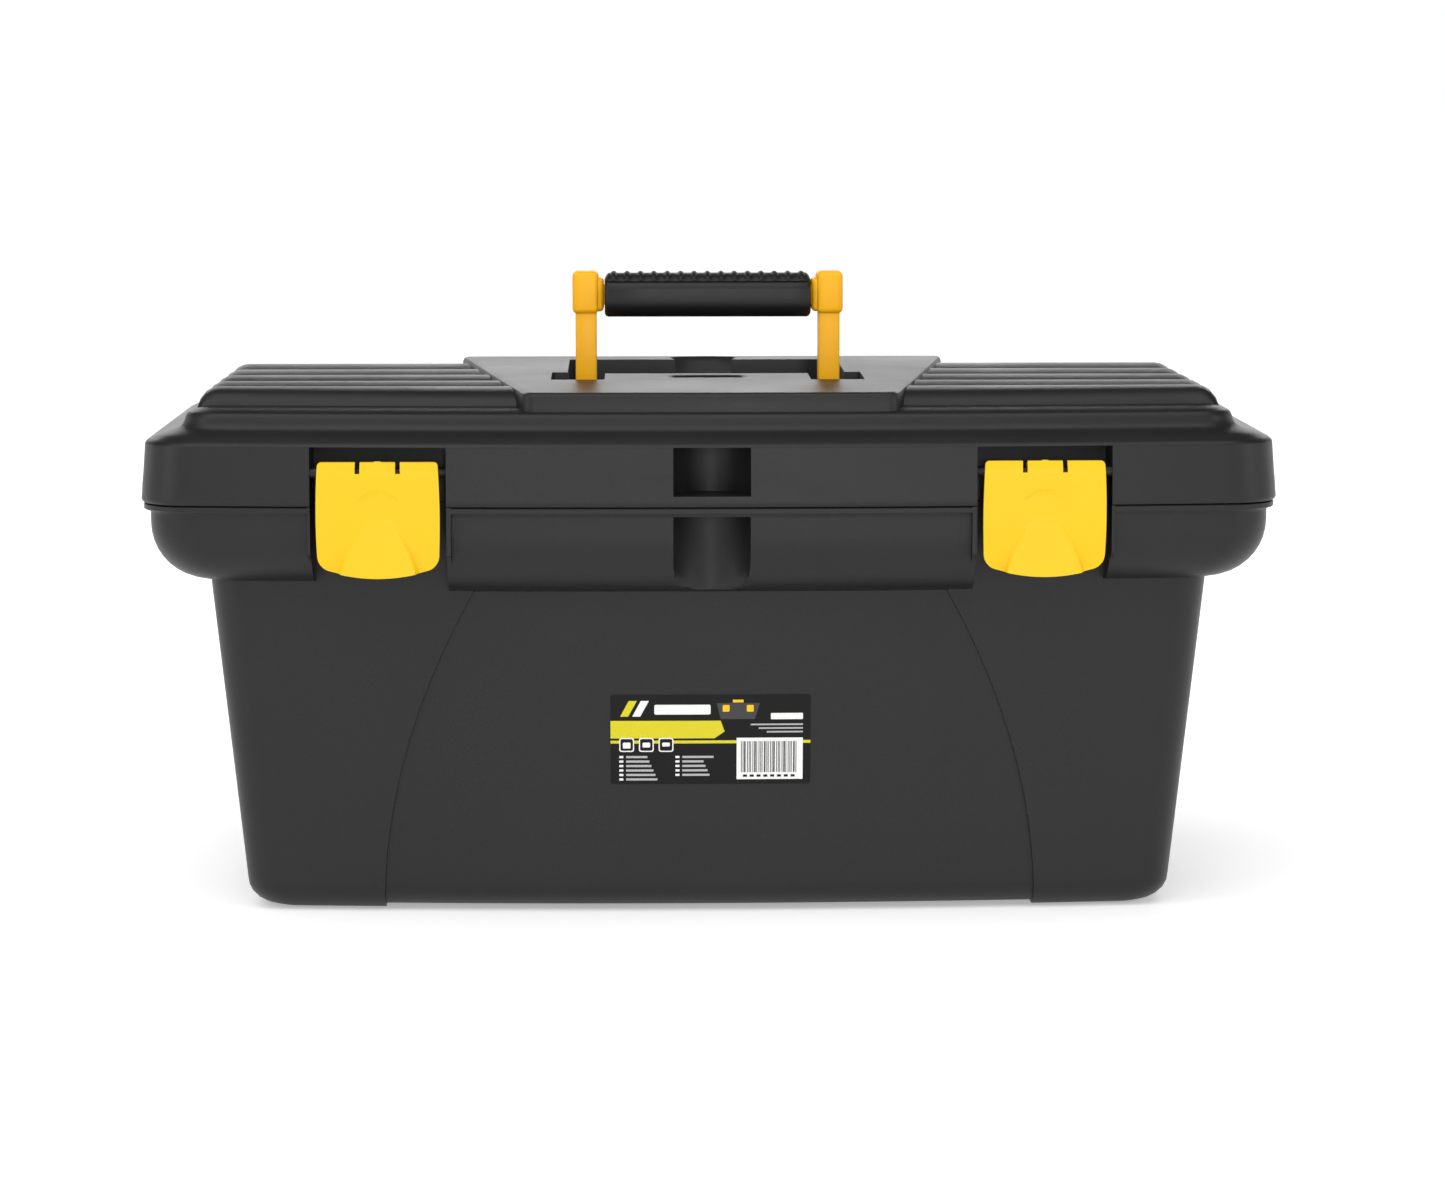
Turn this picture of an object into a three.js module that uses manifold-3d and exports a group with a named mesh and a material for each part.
// Plastic toolbox with a lift-out tray, a hinged lid, two snap latches and a folding handle.
// Millimetres, +Z up, X along the box, the front faces -Y. The origin is the middle of the footprint.
import * as THREE from 'three';
import { mergeVertices } from 'three/addons/utils/BufferGeometryUtils.js';
import Module from 'manifold-3d';

const wasm = await Module();
wasm.setup();

// ---- Driving dimensions ----
const GAP = 0.3;                 // working clearance between pieces that touch
const WALL = 3;                  // moulded wall of the tub and the lid
const SEAM = 209.7;              // height of the parting line between tub and lid
const RIM = { half: 280, front: -138.5, back: 127, radius: 27 };
const BOW = 12.6;                // how far the front bulges between its corners

const LIP = { height: 3.2, out: 3 };                   // flange round the mouth of the tub
const TUB_INSET = { lip: 1, shoulder: 31, floor: 46 }; // horizontal distances in from the rim
const SHOULDER = { flat: 10, drop: 40, middleExtra: 4.4 };
const BOTTOM_ROUND = 15;
const FOOT = { height: 1.6, inner: 163.5 };
const PANEL = { depth: 1.2, topHalf: 116, topZ: 166 }; // arched middle panel of the front wall

const RECESS = { inner: 129, outer: 195, inset: 27, roof: 238 };  // pockets for the latches
const SCALLOP = { half: 18.7, depth: 24, low: 5.2, high: 5.4, roof: 28.8 };
const PADLOCK_HOLE = 9;

const LID_WALL = 30;
const RIM_ROUND = 3;
const PLATFORM = { inset: 24, front: -118, back: 116, edgeZ: 253.5, z: 255.6, radius: 16 };
const RIBS = { half: 243.8, front: -97, back: 103, z: 263.8, count: 5, groove: 3.2 };
const PLATEAU = { frontHalf: 92, backHalf: 130, front: -116, frontZ: 263.5, backZ: 266.3 };
const POCKET = { half: 71, front: -4, back: 81, floor: 238.5 };
const SLOT = { inner: 53, outer: 79, front: -40, back: 2 };
const SCOOP = { half: 19, back: 103, floor: 250 };
const TONGUE = { inset: 8, thick: 2, drop: 5 };

const HINGE = { y: 134, z: SEAM, spread: 150, lidHalf: 14, tubWidth: 10, knuckle: 4.5, pin: 4 };

const LATCH = { x: 162, y: -127, z: 226, width: 60, top: 5.5, bottom: -51, face: -7, plate: 2.8, bar: 5 };
const CATCH = { half: 20, low: 191, high: 199, front: -125 };

const HANDLE = { y: -29, z: 253, top: 319, legInner: 56.3, legOuter: 67, legDepth: 16 };
const HEAD = { inner: 55.3, outer: 68.5, height: 21.4, depth: 20 };
const GRIP = {
  half: 52.2, height: 23, depth: 25, sides: 20, ribs: 15, ribPitch: 6.8, ribHalf: 1.7, pad: 6.5,
};
const PLUG = { length: 24, height: 10, depth: 13, neck: 16 };
const STUB = { diameter: 8, length: 9.5 };

const TRAY = { floor: 128, rim: 178, wingZ: 175.5, wingHalf: 257, wall: 2, bodyInset: 40.5, rimInset: 35.5 };
const SPINE_Y = -5;
const TRAY_HANDLE = { half: 60, top: 222, barHeight: 9, barDepth: 13, leg: 55, legWidth: 10, legDepth: 6 };
const TRAY_SOCKET = { width: 16, depth: 12, low: 146 };
const DIVIDERS_FRONT = [-120, 0, 120];
const DIVIDERS_BACK = [-160, 160];
const DIVIDER = { thick: 1.6, height: 40, rib: 1.4 };

const LABEL = { half: 50, low: 66, high: 112.5, thick: 0.5 };

const CORNER_STEPS = 5;
const BOW_STEPS = 8;
const ROUND_STEPS = 5;

// ---- Materials ----
const charcoal = { color: 0x37373a, roughness: 0.55, metalness: 0 };
const yellow = { color: 0xfac814, roughness: 0.42, metalness: 0 };
const amber = { color: 0xf3b900, roughness: 0.45, metalness: 0 };
const black = { color: 0x232325, roughness: 0.6, metalness: 0 };
const steel = { color: 0xb8bbc0, roughness: 0.3, metalness: 1 };
const paper = { color: 0x1c1c1c, roughness: 0.35, metalness: 0 };

// ---- Solids: three.js geometry in, joined and cut, three.js geometry out ----
function solid(geometry) {
  const bare = geometry.clone();
  bare.deleteAttribute('normal');
  bare.deleteAttribute('uv');
  const merged = mergeVertices(bare, 1e-4);
  const vertProperties = new Float32Array(merged.attributes.position.array);
  const triVerts = new Uint32Array(merged.index.array);
  return new wasm.Manifold(new wasm.Mesh({ numProp: 3, vertProperties, triVerts }));
}

function geometryOf(shape) {
  const mesh = shape.getMesh();
  const geometry = new THREE.BufferGeometry();
  geometry.setAttribute('position', new THREE.BufferAttribute(new Float32Array(mesh.vertProperties), 3));
  geometry.setIndex(new THREE.BufferAttribute(new Uint32Array(mesh.triVerts), 1));
  const flat = geometry.toNonIndexed();
  flat.computeVertexNormals();
  return flat;
}

const join = (shapes) => shapes.reduce((sum, shape) => sum.add(shape));
const cut = (shape, tools) => tools.reduce((rest, tool) => rest.subtract(tool), shape);

function block(x0, x1, y0, y1, z0, z1) {
  const geometry = new THREE.BoxGeometry(x1 - x0, y1 - y0, z1 - z0);
  geometry.translate((x0 + x1) / 2, (y0 + y1) / 2, (z0 + z1) / 2);
  return solid(geometry);
}

// A cylinder lying along X between x0 and x1.
function rodAlongX(radius, x0, x1, y, z, sides = 20) {
  const geometry = new THREE.CylinderGeometry(radius, radius, x1 - x0, sides);
  geometry.rotateZ(Math.PI / 2);
  geometry.translate((x0 + x1) / 2, y, z);
  return solid(geometry);
}

// A cylinder standing upright between z0 and z1.
function post(radius, x, y, z0, z1, sides = 28) {
  const geometry = new THREE.CylinderGeometry(radius, radius, z1 - z0, sides);
  geometry.rotateX(Math.PI / 2);
  geometry.translate(x, y, (z0 + z1) / 2);
  return solid(geometry);
}

// An outline of [y, z] points carried along X from x0 to x1.
function sideProfile(points, x0, x1) {
  const shape = new THREE.Shape(points.map(([y, z]) => new THREE.Vector2(y, z)));
  const geometry = new THREE.ExtrudeGeometry(shape, { depth: x1 - x0, bevelEnabled: false });
  geometry.applyMatrix4(new THREE.Matrix4().makeBasis(
    new THREE.Vector3(0, 1, 0), new THREE.Vector3(0, 0, 1), new THREE.Vector3(1, 0, 0)));
  geometry.translate(x0, 0, 0);
  return solid(geometry);
}

// An outline of [x, z] points carried along Y from y0 to y1.
function frontProfile(points, y0, y1) {
  const shape = new THREE.Shape(points.map(([x, z]) => new THREE.Vector2(x, z)));
  const geometry = new THREE.ExtrudeGeometry(shape, { depth: y1 - y0, bevelEnabled: false });
  geometry.rotateX(Math.PI / 2);
  geometry.translate(0, y1, 0);
  return solid(geometry);
}

// An outline of [x, y] points carried up from z0 to z1.
function topProfile(points, z0, z1) {
  const shape = new THREE.Shape(points.map(([x, y]) => new THREE.Vector2(x, y)));
  const geometry = new THREE.ExtrudeGeometry(shape, { depth: z1 - z0, bevelEnabled: false });
  geometry.translate(0, 0, z0);
  return solid(geometry);
}

// ---- The bowed, round-cornered outline that the tub, the lid and the tray share ----
const CODE = 10;

// One outline in coded form: corner centres at +-CODE, every edge point one unit outside them.
function codedOutline() {
  const points = [];
  for (let i = 1; i < BOW_STEPS; i++) {
    const t = (2 * i) / BOW_STEPS - 1;
    points.push(new THREE.Vector2(CODE * t, -CODE - 1 - 0.5 * (1 - t * t)));
  }
  [[1, -1], [1, 1], [-1, 1], [-1, -1]].forEach(([sx, sy], quarter) => {
    for (let i = 0; i <= CORNER_STEPS; i++) {
      const angle = ((quarter - 1) + i / CORNER_STEPS) * (Math.PI / 2);
      points.push(new THREE.Vector2(sx * CODE + Math.cos(angle), sy * CODE + Math.sin(angle)));
    }
  });
  return new THREE.Shape(points);
}

const bowAt = (x) => BOW * (x / (RIM.half - RIM.radius)) ** 2;

// The rim outline moved in by a distance; the corners tighten only slowly.
function planAt(inset) {
  return {
    half: RIM.half - inset,
    front: RIM.front + inset,
    back: RIM.back - inset,
    radius: RIM.radius - 0.2 * inset,
  };
}

// A solid skinned over rings: each level is { z, plan }.
function loft(levels) {
  const top = levels.length - 1;
  const geometry = new THREE.ExtrudeGeometry(codedOutline(), { depth: top, steps: top, bevelEnabled: false });
  const position = geometry.attributes.position;
  for (let i = 0; i < position.count; i++) {
    const { z, plan } = levels[Math.round(position.getZ(i))];
    const u = THREE.MathUtils.clamp(position.getX(i), -CODE, CODE);
    const v = THREE.MathUtils.clamp(position.getY(i), -CODE, CODE);
    const away = new THREE.Vector2(position.getX(i) - u, position.getY(i) - v).normalize();
    const x = (u / CODE) * (plan.half - plan.radius);
    const y = v > 0 ? plan.back - plan.radius : plan.front + plan.radius + bowAt(x);
    position.setXYZ(i, x + away.x * plan.radius, y + away.y * plan.radius, z);
  }
  return solid(geometry);
}

const level = (z, inset) => ({ z, plan: planAt(inset) });

// Quarter of an ellipse between two insets and two heights, upright at the outer end.
function roundUnder(outerInset, innerInset, topZ, bottomZ) {
  const levels = [];
  for (let i = 0; i <= ROUND_STEPS; i++) {
    const angle = (1 - i / ROUND_STEPS) * (Math.PI / 2);
    const inset = outerInset + (innerInset - outerInset) * (1 - Math.cos(angle));
    levels.push(level(topZ - (topZ - bottomZ) * Math.sin(angle), inset));
  }
  return levels;
}

// ---- Tub ----
const TUB_TOP = SEAM - GAP;
const SHOULDER_BOTTOM = SEAM - SHOULDER.drop;
const WALL_SLOPE = (TUB_INSET.floor - TUB_INSET.shoulder) / (SHOULDER_BOTTOM - BOTTOM_ROUND);
const wallInset = (z) => TUB_INSET.shoulder + (SHOULDER_BOTTOM - z) * WALL_SLOPE;

// The drafted lower wall, carried straight on up to the seam.
function tubWall(extra, floorZ, topZ) {
  const bottom = roundUnder(wallInset(BOTTOM_ROUND) + extra, wallInset(BOTTOM_ROUND) + 16 + extra,
    BOTTOM_ROUND + floorZ, floorZ);
  return loft([...bottom, level(topZ, wallInset(topZ) + extra)]);
}

function tubShoulder(extra, drop, topZ) {
  const lipInset = TUB_INSET.lip + LIP.out + extra;
  const rounded = roundUnder(lipInset, TUB_INSET.shoulder + extra, SEAM - SHOULDER.flat - drop,
    SHOULDER_BOTTOM - drop + extra);
  return loft([...rounded, level(topZ, lipInset)]);
}

const recessBlocks = (margin, z0, z1) => [-1, 1].map((side) => {
  const near = RECESS.inner - margin;
  const far = RECESS.outer + margin;
  return side > 0 ? block(near, far, -160, -60, z0, z1) : block(-far, -near, -160, -60, z0, z1);
});

// A vertical scoop with a round back at the middle of the front.
function scallop(margin, z0, z1) {
  const radius = SCALLOP.half + margin;
  const centre = RIM.front + SCALLOP.depth - SCALLOP.half;
  return post(radius, 0, centre, z0, z1).add(block(-radius, radius, -160, centre, z0, z1));
}

function hingeLug(centreX, halfWidth, points) {
  const arm = sideProfile(points, centreX - halfWidth, centreX + halfWidth);
  return arm.add(rodAlongX(HINGE.knuckle, centreX - halfWidth, centreX + halfWidth, HINGE.y, HINGE.z));
}

function hingeBore(side) {
  const middle = side * HINGE.spread;
  return rodAlongX(HINGE.pin / 2 + GAP, middle - 40, middle + 40, HINGE.y, HINGE.z, 16);
}

function archedPanel() {
  const bottomHalf = FOOT.inner;
  const right = [];
  for (let i = 0; i <= 10; i++) {
    const t = i / 10;
    const z = -1 + (PANEL.topZ + 1) * t;
    right.push([bottomHalf - (bottomHalf - PANEL.topHalf) * t * t, z]);
  }
  const left = right.map(([x, z]) => [-x, z]).reverse();
  return frontProfile([...right, ...left], -150, 0);
}

function tub() {
  const lip = loft([
    level(TUB_TOP - LIP.height, TUB_INSET.lip),
    level(TUB_TOP, TUB_INSET.lip),
  ]);
  const middle = tubShoulder(0, SHOULDER.middleExtra, TUB_TOP)
    .intersect(block(-RECESS.inner, RECESS.inner, -160, 0, 0, TUB_TOP));
  const shoulder = cut(join([tubShoulder(0, 0, TUB_TOP), middle, lip]), recessBlocks(0, 150, SEAM + 1));
  const wall = tubWall(0, 0, TUB_TOP);
  const panelSkin = wall.subtract(tubWall(PANEL.depth, 0, TUB_TOP + 1)).intersect(archedPanel());
  const outside = wall.subtract(panelSkin).add(shoulder);

  const roomShoulder = cut(tubShoulder(WALL, 0, SEAM + 2),
    [...recessBlocks(WALL, 150, SEAM + 3), scallop(WALL, 150, SEAM + 3)]);
  const room = tubWall(WALL, WALL, SEAM + 2).add(roomShoulder);

  const ledges = [-1, 1].map((side) => {
    const x = side * 251.5;
    return block(x - 6, x + 6, -70, 60, SHOULDER_BOTTOM, TRAY.wingZ - GAP);
  });
  const catches = [-1, 1].map((side) => {
    const x = side * LATCH.x;
    return sideProfile([
      [CATCH.front, CATCH.low], [-100, CATCH.low - 6], [-100, CATCH.high], [CATCH.front, CATCH.high],
    ], x - CATCH.half, x + CATCH.half);
  });
  const lugs = [-1, 1].flatMap((side) => [-1, 1].map((end) => {
    const x = side * HINGE.spread + end * (HINGE.lidHalf + GAP + HINGE.tubWidth / 2);
    return hingeLug(x, HINGE.tubWidth / 2, [[121.5, 192], [HINGE.y, HINGE.z - HINGE.knuckle + 0.2],
      [HINGE.y, HINGE.z], [129, 206], [121.5, 206]]);
  }));
  const shell = outside.subtract(room).add(join([...ledges, ...catches, ...lugs]));

  const padlockY = RIM.front + SCALLOP.depth / 2;
  return cut(shell, [
    scallop(0, 150, SEAM - SCALLOP.low),
    post(PADLOCK_HOLE / 2, 0, padlockY, SEAM - 20, SEAM + 20, 20),
    block(-FOOT.inner, FOOT.inner, -120, 110, -1, FOOT.height),
    hingeBore(-1),
    hingeBore(1),
  ]);
}

// ---- Lid ----
const LID_TOP = SEAM + LID_WALL;

function lidRim(extra, z0, topZ) {
  return loft([
    level(z0, 0.8 + extra),
    level(z0 + 2, extra),
    level(topZ - RIM_ROUND, 2 + extra),
    level(topZ - RIM_ROUND * 0.3, 2 + RIM_ROUND * 0.3 + extra),
    level(topZ, 2 + RIM_ROUND + extra),
  ]);
}

// The raised platform inside the rim, with a swept foot.
function platform(extra, drop) {
  const foot = {
    half: RIM.half - 8 - extra,
    front: RIM.front + 7 + extra,
    back: RIM.back - 5 - extra,
    radius: 22,
  };
  const edge = {
    half: RIM.half - PLATFORM.inset - extra,
    front: PLATFORM.front + extra,
    back: PLATFORM.back - extra,
    radius: PLATFORM.radius,
  };
  const between = (t) => {
    const mix = (key) => foot[key] + (edge[key] - foot[key]) * t;
    return { half: mix('half'), front: mix('front'), back: mix('back'), radius: mix('radius') };
  };
  const flat = { half: edge.half - 8, front: edge.front + 10, back: edge.back - 5, radius: 12 };
  return loft([
    { z: LID_TOP - 4 - drop, plan: foot },
    { z: LID_TOP + 0.6 - drop, plan: foot },
    { z: LID_TOP + 3.2 - drop, plan: between(0.4) },
    { z: LID_TOP + 6.8 - drop, plan: between(0.74) },
    { z: LID_TOP + 11 - drop, plan: between(0.93) },
    { z: PLATFORM.edgeZ - drop, plan: edge },
    { z: PLATFORM.z - drop, plan: flat },
  ]);
}

// Broad ribs along X over both halves of the lid, with narrow grooves between them.
function ribField() {
  const pitch = (RIBS.back - RIBS.front) / RIBS.count;
  const low = PLATFORM.edgeZ - 3;
  const ribs = [];
  for (let i = 0; i < RIBS.count; i++) {
    const y0 = RIBS.front + i * pitch + (i ? RIBS.groove / 2 : 0);
    const y1 = RIBS.front + (i + 1) * pitch - (i < RIBS.count - 1 ? RIBS.groove / 2 : 0);
    const outline = [[y0 - 0.8, low], [y1 + 0.8, low], [y1 - 0.6, RIBS.z - 1.2], [y1 - 2.4, RIBS.z],
      [y0 + 2.4, RIBS.z], [y0 + 0.6, RIBS.z - 1.2]];
    ribs.push(sideProfile(outline, -RIBS.half, RIBS.half));
  }
  const bed = block(-RIBS.half + 4, RIBS.half - 4, RIBS.front + 4, RIBS.back - 4, low, RIBS.z - 4.4);
  const half = RIBS.half;
  const ends = frontProfile([
    [-half - 4, low - 1], [half + 4, low - 1], [half + 3, low + 4], [half, RIBS.z - 3],
    [half - 3, RIBS.z + 1], [3 - half, RIBS.z + 1], [-half, RIBS.z - 3], [-half - 3, low + 4],
  ], -150, 150);
  return join([...ribs, bed]).intersect(ends);
}

const plateauZ = (y) => PLATEAU.frontZ
  + (PLATEAU.backZ - PLATEAU.frontZ) * ((y - PLATEAU.front) / (RIBS.back - PLATEAU.front));

function plateau() {
  const { frontHalf, backHalf, front } = PLATEAU;
  const back = RIBS.back + 3;
  const plan = topProfile([
    [-frontHalf + 8, front], [frontHalf - 8, front], [frontHalf, front + 7], [backHalf, back],
    [-backHalf, back], [-frontHalf, front + 7],
  ], 240, 280);
  const side = sideProfile([
    [front - 1, 250], [back + 4, 250], [back + 1, plateauZ(back) - 4], [back - 3, plateauZ(back)],
    [front + 3, plateauZ(front)], [front, plateauZ(front) - 2.5],
  ], -200, 200);
  return plan.intersect(side);
}

// The handle pocket, its two leg slots and the finger scoop behind it.
function pocketSpace(margin) {
  const top = 280;
  const floor = POCKET.floor - margin;
  const pocketHalf = POCKET.half + margin;
  const middle = block(-pocketHalf, pocketHalf, POCKET.front - margin, POCKET.back + margin, floor, top);
  const slots = [-1, 1].map((side) => {
    const near = SLOT.inner - margin;
    const far = SLOT.outer + margin;
    const span = side > 0 ? [near, far] : [-far, -near];
    return block(...span, SLOT.front - margin, SLOT.back + margin, floor, top);
  });
  const scoop = sideProfile([
    [POCKET.back - 6, SCOOP.floor - margin], [POCKET.back + 1 + margin, SCOOP.floor - margin],
    [SCOOP.back + margin * 0.6, top - 13], [SCOOP.back + margin * 0.6, top], [POCKET.back - 6, top],
  ], -SCOOP.half - margin, SCOOP.half + margin);
  return join([middle, ...slots, scoop]);
}

// Bearing blocks at the outer ends of the leg slots, bored for the stubs of the handle arms.
function bearings() {
  const blocks = [-1, 1].map((side) => {
    const near = HANDLE.legOuter + 0.5;
    const x0 = side > 0 ? near : -SLOT.outer - 1;
    const x1 = side > 0 ? SLOT.outer + 1 : -near;
    return block(x0, x1, SLOT.front - 1, HANDLE.y + 12, POCKET.floor - 1, HANDLE.z + 7);
  });
  const bore = rodAlongX(STUB.diameter / 2 + GAP, -SLOT.outer + 0.5, SLOT.outer - 0.5, HANDLE.y, HANDLE.z);
  return join(blocks).subtract(bore);
}

// Everything behind the back wall of the latch recesses.
const recessBack = (margin) => loft([
  level(SEAM - 8, RECESS.inset + margin),
  level(LID_TOP + 6, RECESS.inset + margin),
]);

function lid() {
  const outside = join([lidRim(0, SEAM, LID_TOP), platform(0, 0), ribField(), plateau()]);

  const rimRoom = lidRim(WALL, SEAM - 3, LID_TOP - WALL + 0.5);
  const platformRoom = platform(WALL, WALL);
  const ribRoom = block(-RIBS.half + WALL + 3, RIBS.half - WALL - 3, RIBS.front + WALL, RIBS.back - WALL,
    SEAM, RIBS.z - WALL);
  const ribCeiling = block(-300, 300, -200, 200, RIBS.z - 4.4 - WALL, RIBS.z);
  const room = join([rimRoom, platformRoom, ribRoom.subtract(ribCeiling)]);
  const recessWalls = cut(join(recessBlocks(WALL, SEAM - 6, RECESS.roof + WALL)), [recessBack(WALL)]);
  const cavity = cut(room, [
    pocketSpace(WALL - 0.5),
    recessWalls,
    scallop(WALL, SEAM - 5, SEAM + SCALLOP.roof + WALL),
  ]);
  const shell = outside.subtract(cavity);
  const recesses = cut(join(recessBlocks(0, SEAM - 5, RECESS.roof)), [recessBack(0)]);

  const tongueOuter = loft([level(SEAM - TONGUE.drop, TONGUE.inset + 0.4), level(SEAM + 4, TONGUE.inset)]);
  const tongueInner = loft([level(SEAM - TONGUE.drop - 1, TONGUE.inset + TONGUE.thick),
    level(SEAM + 6, TONGUE.inset + TONGUE.thick)]);
  const tongueRoof = loft([level(SEAM + 1, 1.5), level(SEAM + 4, 1.5)]).subtract(tongueInner);
  const tongue = cut(tongueOuter.subtract(tongueInner).add(tongueRoof), [
    ...recessBlocks(WALL + 1, SEAM - 10, SEAM + 10),
    scallop(WALL + 1, SEAM - 10, SEAM + 10),
  ]);

  const bars = [-1, 1].map((side) => {
    const x0 = side * LATCH.x - 34.5;
    return rodAlongX(LATCH.bar / 2, x0, x0 + 69, LATCH.y, LATCH.z, 16);
  });
  const lugs = [-1, 1].map((side) => hingeLug(side * HINGE.spread, HINGE.lidHalf,
    [[124.5, SEAM + 2], [129, SEAM + 2], [HINGE.y, HINGE.z],
      [HINGE.y, HINGE.z + HINGE.knuckle - 0.2], [124.5, SEAM + 17]]));

  const padlockY = RIM.front + SCALLOP.depth / 2;
  const body = cut(shell.add(tongue), [
    recesses,
    scallop(0, SEAM + SCALLOP.high, SEAM + SCALLOP.roof),
    pocketSpace(0),
    post(PADLOCK_HOLE / 2, 0, padlockY, SEAM - 20, SEAM + 12, 20),
  ]);
  return cut(join([body, ...bars, ...lugs, bearings()]), [hingeBore(-1), hingeBore(1)]);
}

// ---- Latch, in its own frame: the bar it turns on is the origin ----
function latch() {
  const half = LATCH.width / 2;
  const inner = LATCH.face + LATCH.plate;
  const foot = LATCH.bottom;
  const plate = sideProfile([
    [LATCH.face, 2], [LATCH.face, foot + 5], [LATCH.face - 1.8, foot], [inner - 2, foot],
    [inner, foot + 5], [inner, LATCH.top], [LATCH.face + 1.5, LATCH.top],
  ], -half, half);
  const outline = frontProfile([
    [-half + 0.8, LATCH.top + 1], [-half, -15], [-half + 1.5, foot + 8], [-half + 9, foot + 2.5],
    [-8, foot - 1], [8, foot - 1], [half - 9, foot + 2.5], [half - 1.5, foot + 8], [half, -15],
    [half - 0.8, LATCH.top + 1],
  ], -20, 20);
  const barrel = rodAlongX(4.4, -26, 26, 0, 0, 24);
  const hookTop = CATCH.low - LATCH.z - GAP - 0.1;
  const reach = CATCH.front - LATCH.y - GAP - 0.05;
  const hook = sideProfile([
    [inner - 0.3, hookTop - 6], [reach, hookTop - 3], [reach, hookTop], [inner - 0.3, hookTop],
  ], -CATCH.half + 2, CATCH.half - 2);
  const slits = [-1, 1].map((side) => {
    const x = side * 10;
    return block(x - 1.2, x + 1.2, -12, 6, LATCH.top - 6.5, LATCH.top + 2);
  });
  const bore = rodAlongX(LATCH.bar / 2 + GAP, -40, 40, 0, 0, 16);
  return cut(join([plate.intersect(outline), barrel, hook]), [bore, ...slits]);
}

// ---- Handle, in its own frame: the pivot line is the origin ----
const HEAD_TOP = HANDLE.top - HANDLE.z;
const GRIP_Z = HEAD_TOP - GRIP.height / 2 - 0.5;

function across(side, inner, outer, y, z0, z1) {
  return side > 0 ? block(inner, outer, -y, y, z0, z1) : block(-outer, -inner, -y, y, z0, z1);
}

function handleArm(side) {
  const xs = (a, b) => (side > 0 ? [a, b] : [-b, -a]);
  const depth = HANDLE.legDepth / 2;
  const leg = across(side, HANDLE.legInner, HANDLE.legOuter, depth, 0, HEAD_TOP - HEAD.height + 1);
  const eye = rodAlongX(depth, ...xs(HANDLE.legInner, HANDLE.legOuter), 0, 0, 24);
  const stubSpan = xs(HANDLE.legOuter - 1, HANDLE.legOuter + STUB.length);
  const stub = rodAlongX(STUB.diameter / 2, ...stubSpan, 0, 0, 20);
  const chamfer = 3;
  const headLow = HEAD_TOP - HEAD.height;
  const headOutline = [[HEAD.inner, headLow], [HEAD.outer, headLow], [HEAD.outer, HEAD_TOP - chamfer],
    [HEAD.outer - chamfer, HEAD_TOP], [HEAD.inner, HEAD_TOP]].map(([x, z]) => [side * x, z]);
  const head = frontProfile(side > 0 ? headOutline : headOutline.reverse(), -HEAD.depth / 2, HEAD.depth / 2);
  const neck = across(side, GRIP.half + GAP, HEAD.inner + 1, PLUG.neck / 2, GRIP_Z - 8, GRIP_Z + 8);
  const plug = across(side, GRIP.half - PLUG.length, GRIP.half + 1, PLUG.depth / 2,
    GRIP_Z - PLUG.height / 2, GRIP_Z + PLUG.height / 2);
  return join([leg, eye, stub, head, neck, plug]);
}

// An elliptical bar along X with its middle on the grip's axis.
function gripBar(halfLength, depth, height) {
  const shape = new THREE.Shape();
  shape.absellipse(0, 0, depth / 2, height / 2, 0, Math.PI * 2);
  const outline = shape.getPoints(GRIP.sides / 2).map((point) => [point.x, GRIP_Z + point.y]);
  return sideProfile(outline.slice(0, -1), -halfLength, halfLength);
}

const PAD_LOW = HEAD_TOP - GRIP.pad;

function handleGrip() {
  const bed = gripBar(60, GRIP.depth - 5, GRIP.height - 5);
  const padRoom = block(-60, 60, -30, 30, PAD_LOW - GAP, HEAD_TOP + 5).subtract(bed);
  const bore = block(-60, 60, -PLUG.depth / 2 - GAP, PLUG.depth / 2 + GAP,
    GRIP_Z - PLUG.height / 2 - GAP, GRIP_Z + PLUG.height / 2 + GAP);
  return cut(gripBar(GRIP.half, GRIP.depth, GRIP.height - 1), [padRoom, bore]);
}

function gripPad() {
  const bands = [];
  for (let i = 0; i < GRIP.ribs; i++) {
    const x = (i - (GRIP.ribs - 1) / 2) * GRIP.ribPitch;
    bands.push(block(x - GRIP.ribHalf, x + GRIP.ribHalf, -30, 30, PAD_LOW, HEAD_TOP));
  }
  const hollow = gripBar(70, GRIP.depth - 5 + 2 * GAP, GRIP.height - 5 + 2 * GAP);
  const skin = gripBar(GRIP.half - 0.5, GRIP.depth - 0.6, GRIP.height - 1)
    .intersect(block(-60, 60, -30, 30, PAD_LOW, HEAD_TOP));
  const ribs = gripBar(GRIP.half - 0.5, GRIP.depth + 0.6, GRIP.height + 1).intersect(join(bands));
  return skin.add(ribs).subtract(hollow);
}

// ---- Hinge pin, in its own frame ----
function hingePin() {
  const half = HINGE.lidHalf + GAP + HINGE.tubWidth;
  return rodAlongX(HINGE.pin / 2, -half, half, 0, 0, 16);
}

// ---- Tray ----
function trayInset(z) {
  const share = (z - TRAY.floor) / (TRAY.rim - TRAY.floor);
  return TRAY.bodyInset + share * (TRAY.rimInset + 2 - TRAY.bodyInset);
}

function trayShell(extra, z0, z1) {
  return loft([
    level(z0, trayInset(z0) + extra + 4),
    level(z0 + 4, trayInset(z0 + 4) + extra),
    level(z1, trayInset(z1) + extra),
  ]);
}

const trayFront = (x) => RIM.front + trayInset(150) + TRAY.wall + bowAt(x);
const trayBack = RIM.back - trayInset(150) - TRAY.wall;

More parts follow.
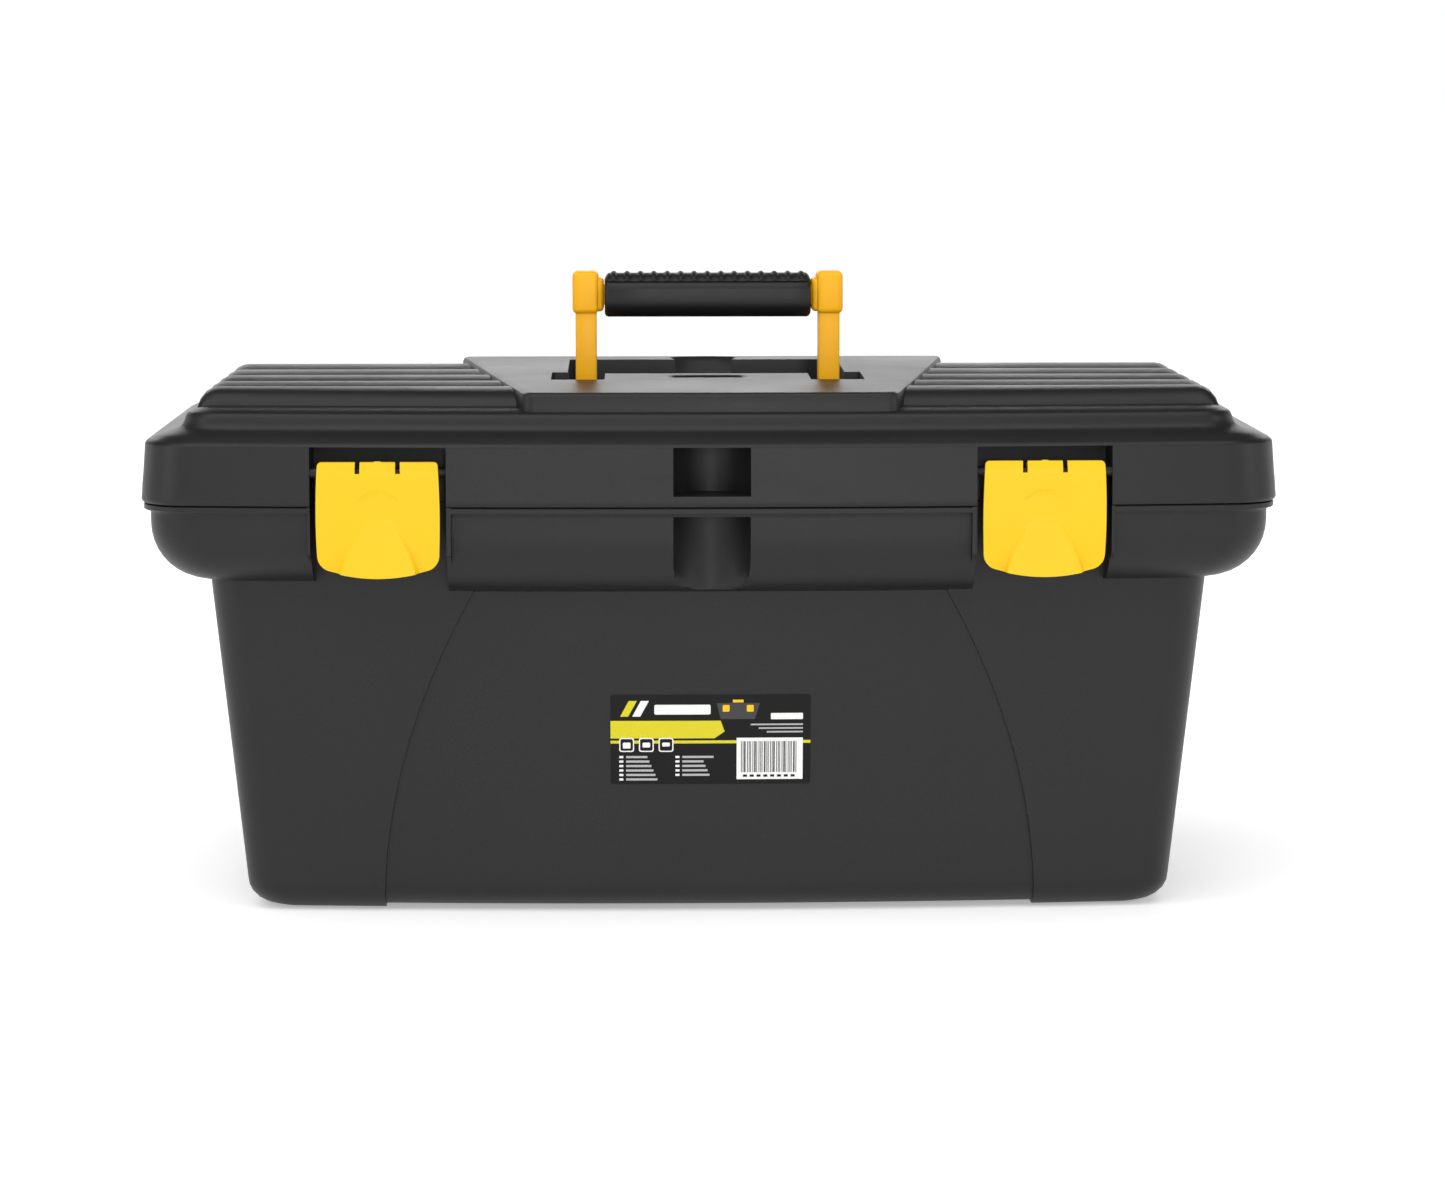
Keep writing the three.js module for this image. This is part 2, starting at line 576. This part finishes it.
// A pair of small ribs on a tray wall that holds the edge of one divider.
function dividerRibs(x, y, inward) {
  return [-1, 1].map((side) => {
    const middle = x + side * (DIVIDER.thick / 2 + GAP + DIVIDER.rib / 2);
    const y0 = Math.min(y - inward * 4, y + inward * 2.2);
    const y1 = Math.max(y - inward * 4, y + inward * 2.2);
    return block(middle - DIVIDER.rib / 2, middle + DIVIDER.rib / 2, y0, y1, TRAY.floor + 1, TRAY.rim - 6);
  });
}

function tray() {
  const wings = [-1, 1].map((side) => {
    const inner = RIM.half - trayInset(TRAY.rim) - 4;
    return side > 0 ? block(inner, TRAY.wingHalf, -75, 62, TRAY.wingZ, TRAY.rim)
      : block(-TRAY.wingHalf, -inner, -75, 62, TRAY.wingZ, TRAY.rim);
  });
  const rim = loft([level(TRAY.wingZ, TRAY.rimInset), level(TRAY.rim, TRAY.rimInset)]);
  const outside = join([trayShell(0, TRAY.floor, TRAY.rim), rim, ...wings]);
  const room = trayShell(TRAY.wall, TRAY.floor + TRAY.wall, TRAY.rim + 1);
  const spine = block(-250, 250, SPINE_Y - 1.2, SPINE_Y + 1.2, 100, TRAY.rim);
  const crossWalls = [-80, 80].map((x) => block(x - 1, x + 1, SPINE_Y, 150, 100, TRAY.rim - 2));
  const sockets = [-1, 1].map((side) => {
    const x = side * TRAY_HANDLE.leg;
    const half = TRAY_SOCKET.width / 2;
    const deep = TRAY_SOCKET.depth / 2;
    return block(x - half, x + half, SPINE_Y - deep, SPINE_Y + deep, 100, TRAY.rim);
  });
  const walls = cut(room, [spine, ...crossWalls, ...sockets]);
  const ribs = join([
    ...DIVIDERS_FRONT.flatMap((x) => [
      ...dividerRibs(x, trayFront(x), 1),
      ...dividerRibs(x, SPINE_Y - 1.2, -1),
    ]),
    ...DIVIDERS_BACK.flatMap((x) => [
      ...dividerRibs(x, trayBack, -1),
      ...dividerRibs(x, SPINE_Y + 1.2, 1),
    ]),
  ]).intersect(trayShell(0.5, TRAY.floor, TRAY.rim - 1));
  const holes = [-1, 1].map((side) => {
    const x = side * TRAY_HANDLE.leg;
    return block(x - TRAY_HANDLE.legWidth / 2 - GAP, x + TRAY_HANDLE.legWidth / 2 + GAP,
      SPINE_Y - TRAY_HANDLE.legDepth / 2 - GAP, SPINE_Y + TRAY_HANDLE.legDepth / 2 + GAP,
      TRAY_SOCKET.low, TRAY.rim + 5);
  });
  return cut(outside.subtract(walls).add(ribs), holes);
}

// The carrying bow of the tray, pushed into its two sockets; the tray's spine line is its origin.
function trayHandle() {
  const { half, top, barHeight, barDepth, leg, legWidth, legDepth } = TRAY_HANDLE;
  const low = top - barHeight;
  const bar = frontProfile([
    [-half, low], [half, low], [half, top - 4], [half - 4, top], [4 - half, top], [-half, top - 4],
  ], -barDepth / 2, barDepth / 2);
  const wide = legWidth / 2;
  const deep = legDepth / 2;
  const legs = [-1, 1].flatMap((side) => {
    const x = side * leg;
    return [
      block(x - wide, x + wide, -deep, deep, TRAY_SOCKET.low + GAP, low + 1),
      block(x - wide - 2, x + wide + 2, -deep - 2, deep + 2, TRAY.rim + GAP, TRAY.rim + 4),
    ];
  });
  return join([bar, ...legs]);
}

// A loose divider plate spanning one row of the tray at x.
function divider(x, row) {
  const wallFace = row === 'front' ? trayFront(x) : trayBack;
  const spineFace = row === 'front' ? SPINE_Y - 1.2 : SPINE_Y + 1.2;
  const y0 = Math.min(wallFace, spineFace) + (row === 'front' ? 1.6 : GAP);
  const y1 = Math.max(wallFace, spineFace) - (row === 'front' ? GAP : 1.6);
  const z0 = TRAY.floor + TRAY.wall + GAP;
  const half = DIVIDER.thick / 2;
  const lowNear = row === 'front' ? 5 : 0;
  const lowFar = row === 'front' ? 0 : 5;
  return sideProfile([[y0 + lowNear, z0], [y1 - lowFar, z0], [y1, z0 + 7], [y1, z0 + DIVIDER.height],
    [y0, z0 + DIVIDER.height], [y0, z0 + 7]], -half, half);
}

// ---- Label, a thin sticker lying on the middle panel of the front wall ----
function label() {
  const outer = tubWall(PANEL.depth - GAP - LABEL.thick, 0, TUB_TOP);
  const inner = tubWall(PANEL.depth - GAP, -1, TUB_TOP + 1);
  return outer.subtract(inner).intersect(block(-LABEL.half, LABEL.half, -150, 0, LABEL.low, LABEL.high));
}

// ---- Assembly ----
function mesh(name, shape, finish) {
  const piece = new THREE.Mesh(geometryOf(shape), new THREE.MeshStandardMaterial(finish));
  piece.name = name;
  return piece;
}

function placed(object, x, y, z) {
  object.position.set(x, y, z);
  return object;
}

const toolbox = new THREE.Group();

const base = new THREE.Group();
base.add(mesh('tub', tub(), charcoal));
base.add(mesh('label', label(), paper));
base.add(placed(mesh('hinge_pin_left', hingePin(), steel), -HINGE.spread, HINGE.y, HINGE.z));
base.add(placed(mesh('hinge_pin_right', hingePin(), steel), HINGE.spread, HINGE.y, HINGE.z));

const cover = new THREE.Group();
cover.add(mesh('lid', lid(), charcoal));
cover.add(placed(mesh('latch_left', latch(), yellow), -LATCH.x, LATCH.y, LATCH.z));
cover.add(placed(mesh('latch_right', latch(), yellow), LATCH.x, LATCH.y, LATCH.z));

const handle = placed(new THREE.Group(), 0, HANDLE.y, HANDLE.z);
handle.add(mesh('handle_arm_left', handleArm(-1), amber));
handle.add(mesh('handle_arm_right', handleArm(1), amber));
handle.add(mesh('handle_grip', handleGrip(), black));
handle.add(mesh('grip_pad', gripPad(), black));

const liftOut = new THREE.Group();
liftOut.add(mesh('tray', tray(), charcoal));
liftOut.add(placed(mesh('tray_handle', trayHandle(), charcoal), 0, SPINE_Y, 0));
DIVIDERS_FRONT.forEach((x, i) => {
  liftOut.add(placed(mesh(`tray_divider_front_${i + 1}`, divider(x, 'front'), charcoal), x, 0, 0));
});
DIVIDERS_BACK.forEach((x, i) => {
  liftOut.add(placed(mesh(`tray_divider_back_${i + 1}`, divider(x, 'back'), charcoal), x, 0, 0));
});

toolbox.add(base, cover, handle, liftOut);

export default toolbox;
